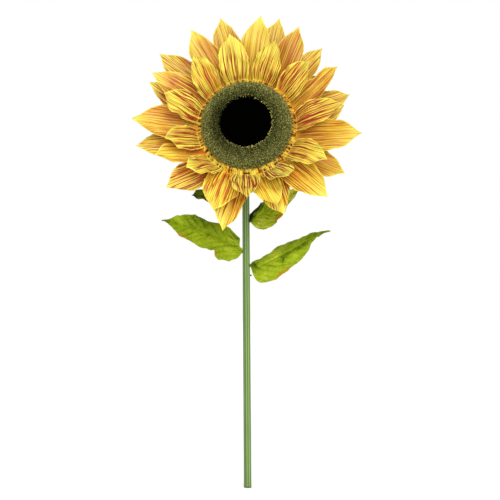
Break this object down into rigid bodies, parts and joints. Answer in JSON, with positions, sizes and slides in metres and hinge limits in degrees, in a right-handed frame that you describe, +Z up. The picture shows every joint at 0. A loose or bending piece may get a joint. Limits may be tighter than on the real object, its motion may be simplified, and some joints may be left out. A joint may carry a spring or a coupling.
{
  "type": "artificial sunflower plant",
  "caption": "Giant artificial sunflower: a layered head of pleated petals round a flocked disc, on a straight fluted stem with leaves.",
  "frame": {"origin": "centre of the flat cut under the stem, where it stands on or in the ground", "axes": "+Z up along the stem; the flower head faces -Y and a little upwards; +X to the viewer's right"},
  "size_m": [0.61, 0.3284, 1.3042],
  "materials": {
    "petal_front": "pleated yellow cloth with red-brown streaks",
    "petal_middle": "pleated yellow and orange cloth",
    "petal_back": "pleated darker orange cloth",
    "collar": "bunched yellow cloth",
    "flock": "olive flock",
    "seed": "black flock",
    "leaf": "printed green cloth",
    "calyx": "green cloth",
    "stem": "sage green fluted plastic",
    "peg": "dark green plastic"
  },
  "bodies": {
    "root": {"calyx": "calyx", "disc_rim": "flock", "leaf_lower_left": "leaf", "leaf_lower_right": "leaf", "leaf_peg_lower_left": "peg", "leaf_peg_lower_right": "peg", "leaf_peg_upper_left": "peg", "leaf_peg_upper_right": "peg", "leaf_upper_left": "leaf", "leaf_upper_right": "leaf", "neck": "stem", "petal_back_01": "petal_back", "petal_back_02": "petal_back", "petal_back_03": "petal_back", "petal_back_04": "petal_back", "petal_back_05": "petal_back", "petal_back_06": "petal_back", "petal_back_07": "petal_back", "petal_back_08": "petal_back", "petal_back_09": "petal_back", "petal_back_10": "petal_back", "petal_back_12": "petal_back", "petal_front_01": "petal_front", "petal_front_02": "petal_front", "petal_front_03": "petal_front", "petal_front_04": "petal_front", "petal_front_05": "petal_front", "petal_front_06": "petal_front", "petal_front_07": "petal_front", "petal_front_08": "petal_front", "petal_front_09": "petal_front", "petal_front_10": "petal_front", "petal_front_12": "petal_front", "petal_middle_01": "petal_middle", "petal_middle_02": "petal_middle", "petal_middle_03": "petal_middle", "petal_middle_04": "petal_middle", "petal_middle_05": "petal_middle", "petal_middle_06": "petal_middle", "petal_middle_07": "petal_middle", "petal_middle_08": "petal_middle", "petal_middle_09": "petal_middle", "petal_middle_10": "petal_middle", "petal_middle_12": "petal_middle", "petal_rear_01": "petal_back", "petal_rear_02": "petal_back", "receptacle": "collar", "seed_centre": "seed", "spare_peg": "peg", "stem": "stem"}
  },
  "joints": []
}
